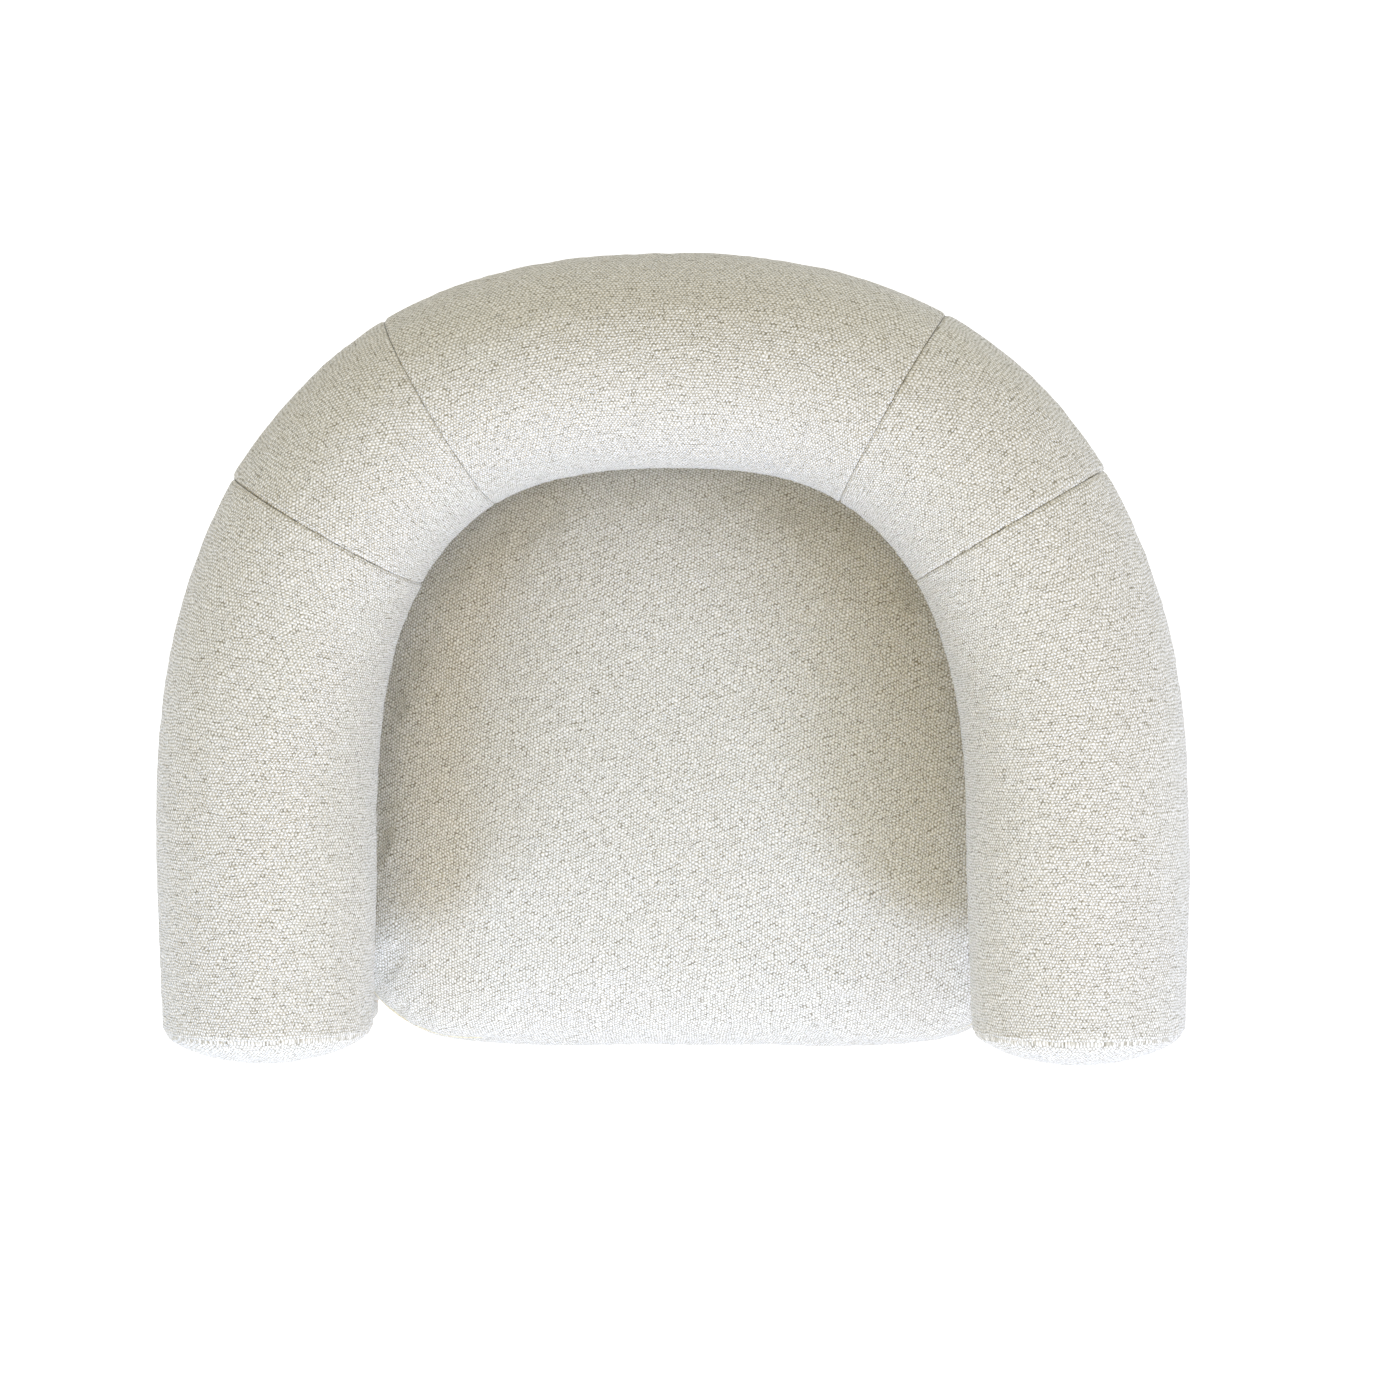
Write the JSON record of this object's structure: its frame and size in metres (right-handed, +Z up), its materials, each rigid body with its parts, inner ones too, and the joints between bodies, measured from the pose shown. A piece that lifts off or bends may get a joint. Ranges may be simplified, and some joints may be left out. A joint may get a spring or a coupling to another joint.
{
  "type": "upholstered armchair",
  "caption": "Low tub armchair with a thick horseshoe bolster as arms and back, a crowned upholstered seat and recessed round feet.",
  "frame": {"origin": "middle of the footprint, on the floor under the glides", "axes": "+X towards the sitter's left across the chair's width, seen from the front as right; -Y towards the open front; +Z up"},
  "size_m": [0.92, 0.714, 0.69],
  "materials": {
    "boucle": "cream boucle weave, matt and nubbly",
    "foot_wood": "dark stained, satin lacquer",
    "glide": "matt moulded nylon",
    "steel": "zinc plated",
    "plywood": "unfinished plywood",
    "frame_wood": "planed hardwood",
    "foam": "open cell upholstery foam",
    "dust_cloth": "thin black non-woven cloth",
    "spring_cloth": "coarse hessian"
  },
  "bodies": {
    "root": {"back_cover": "boucle", "back_post": "frame_wood", "back_rail": "frame_wood", "base_board": "plywood", "bolster_board": "plywood", "bolster_foam": "foam", "corner_blocks": "frame_wood", "cross_rail": "frame_wood", "dust_cover": "dust_cloth", "dust_cover_staples": "steel", "foot_bolts": "steel", "foot_glides": "glide", "foot_tee_nuts": "steel", "front_border_cover": "boucle", "front_border_padding": "foam", "front_left_foot": "foot_wood", "front_rail": "frame_wood", "front_right_foot": "foot_wood", "inside_shell_board": "plywood", "inside_shell_cover": "boucle", "inside_shell_padding": "foam", "left_arm_cover": "boucle", "left_arm_front_board": "plywood", "left_arm_front_cover": "boucle", "left_arm_front_padding": "foam", "left_corner_cover": "boucle", "left_corner_post": "frame_wood", "left_end_cap": "boucle", "left_front_post": "frame_wood", "left_middle_post": "frame_wood", "left_rail": "frame_wood", "left_side_post": "frame_wood", "outside_back_cover": "boucle", "outside_left_cover": "boucle", "outside_right_cover": "boucle", "outside_shell_board": "plywood", "outside_shell_padding": "foam", "rail_screws": "steel", "rear_left_foot": "foot_wood", "rear_right_foot": "foot_wood", "right_arm_cover": "boucle", "right_arm_front_board": "plywood", "right_arm_front_cover": "boucle", "right_arm_front_padding": "foam", "right_corner_cover": "boucle", "right_corner_post": "frame_wood", "right_end_cap": "boucle", "right_front_post": "frame_wood", "right_middle_post": "frame_wood", "right_rail": "frame_wood", "right_side_post": "frame_wood", "seat_base_foam": "foam", "seat_cover": "boucle", "seat_ledge": "plywood", "seat_springs": "steel", "seat_top_foam": "foam", "spring_clips": "steel", "spring_cover": "spring_cloth"}
  },
  "joints": []
}
